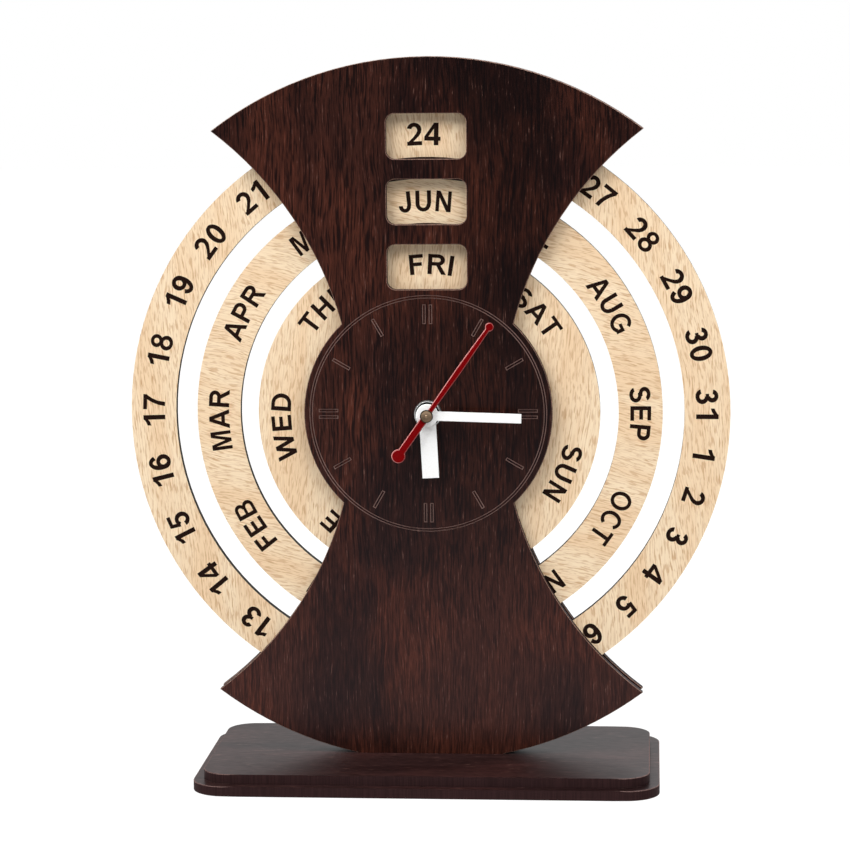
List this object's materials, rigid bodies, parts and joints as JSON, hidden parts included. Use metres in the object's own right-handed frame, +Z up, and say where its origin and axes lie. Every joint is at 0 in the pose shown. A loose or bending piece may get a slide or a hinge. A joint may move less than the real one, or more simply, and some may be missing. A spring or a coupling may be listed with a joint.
{
  "type": "desk clock with perpetual calendar",
  "caption": "Desk clock: hourglass wooden panels hold turning date, month and weekday rings read through windows, with a quartz movement and hands on a stepped base.",
  "frame": {"origin": "centre of the base's underside, on the table", "axes": "+Z up, the dial faces -Y, +X to the right of a person reading it"},
  "size_m": [0.242, 0.097, 0.29],
  "materials": {
    "dark_wood": "stained, satin",
    "beech": "bare sanded, laser-engraved lettering",
    "case_plastic": "fine spark texture",
    "rubber": "matt",
    "steel": "nickel-plated, satin",
    "gear_plastic": "moulded",
    "brass": "turned",
    "copper_wire": "enamelled wire",
    "board": "solder resist",
    "battery_sleeve": "plain printed sleeve",
    "white_paint": "matt enamel",
    "red_paint": "satin enamel"
  },
  "bodies": {
    "stand": {"base_bottom_plate": "dark_wood", "base_top_plate": "dark_wood", "front_panel": "dark_wood", "back_panel": "dark_wood", "hub_spacer": "dark_wood", "inner_guide_upper": "dark_wood", "inner_guide_lower": "dark_wood", "middle_guide_upper": "dark_wood", "middle_guide_lower": "dark_wood", "rim_spacer_upper": "dark_wood", "rim_spacer_lower": "dark_wood", "movement_case": "case_plastic", "movement_cover": "case_plastic", "rubber_gasket": "rubber", "dial_washer": "steel", "bushing_nut": "steel", "train_plate": "gear_plastic", "rear_bridge": "gear_plastic", "bridge_screws": "steel", "stator": "steel", "coil": "copper_wire", "circuit_board": "board", "quartz_crystal": "steel", "battery": "battery_sleeve", "positive_contact": "steel", "negative_contact": "steel"},
    "date_ring": {"date_ring": "beech"},
    "month_ring": {"month_ring": "beech"},
    "weekday_ring": {"weekday_ring": "beech"},
    "second_train": {"seconds_wheel": "gear_plastic", "second_hand": "red_paint", "hand_cap": "brass"},
    "minute_train": {"cannon_pinion": "brass", "centre_wheel": "gear_plastic", "minute_hand": "white_paint"},
    "hour_train": {"hour_wheel": "gear_plastic", "hour_hand": "white_paint"},
    "motion_wheel": {"minute_wheel": "gear_plastic"},
    "third_arbor": {"third_wheel": "gear_plastic"},
    "fifth_arbor": {"fifth_wheel": "gear_plastic"},
    "rotor": {"rotor": "gear_plastic"},
    "setting": {"setting_stem": "gear_plastic", "setting_knob": "case_plastic"}
  },
  "joints": [
    {"name": "date_turn", "type": "hinge", "parent": "stand", "child": "date_ring", "pos_m": [0, 0, 0.1475], "axis": [0, 1, 0], "continuous": true},
    {"name": "month_turn", "type": "hinge", "parent": "stand", "child": "month_ring", "pos_m": [0, 0, 0.1475], "axis": [0, 1, 0], "continuous": true},
    {"name": "weekday_turn", "type": "hinge", "parent": "stand", "child": "weekday_ring", "pos_m": [0, 0, 0.1475], "axis": [0, 1, 0], "continuous": true},
    {"name": "second_turn", "type": "hinge", "parent": "stand", "child": "second_train", "pos_m": [0, 0, 0.1475], "axis": [0, 1, 0], "continuous": true},
    {"name": "minute_turn", "type": "hinge", "parent": "stand", "child": "minute_train", "pos_m": [0, 0, 0.1475], "axis": [0, 1, 0], "continuous": true},
    {"name": "hour_turn", "type": "hinge", "parent": "stand", "child": "hour_train", "pos_m": [0, 0, 0.1475], "axis": [0, 1, 0], "continuous": true},
    {"name": "motion_turn", "type": "hinge", "parent": "stand", "child": "motion_wheel", "pos_m": [0.008, 0, 0.1475], "axis": [0, 1, 0], "continuous": true},
    {"name": "third_turn", "type": "hinge", "parent": "stand", "child": "third_arbor", "pos_m": [-0.00918, 0, 0.1475], "axis": [0, 1, 0], "continuous": true},
    {"name": "fifth_turn", "type": "hinge", "parent": "stand", "child": "fifth_arbor", "pos_m": [-0.00246, 0, 0.15427], "axis": [0, 1, 0], "continuous": true},
    {"name": "rotor_turn", "type": "hinge", "parent": "stand", "child": "rotor", "pos_m": [0.00069, 0, 0.15972], "axis": [0, 1, 0], "continuous": true},
    {"name": "setting_turn", "type": "hinge", "parent": "stand", "child": "setting", "pos_m": [0.01514, 0, 0.15298], "axis": [0, 1, 0], "continuous": true}
  ],
  "couplings": [
    {"joint": "third_turn", "follows": "second_turn", "ratio": -0.13333},
    {"joint": "minute_turn", "follows": "second_turn", "ratio": 0.016667},
    {"joint": "motion_turn", "follows": "second_turn", "ratio": -0.0055556},
    {"joint": "hour_turn", "follows": "second_turn", "ratio": 0.0013889},
    {"joint": "setting_turn", "follows": "second_turn", "ratio": 0.011111},
    {"joint": "fifth_turn", "follows": "second_turn", "ratio": -5},
    {"joint": "rotor_turn", "follows": "second_turn", "ratio": 30}
  ]
}
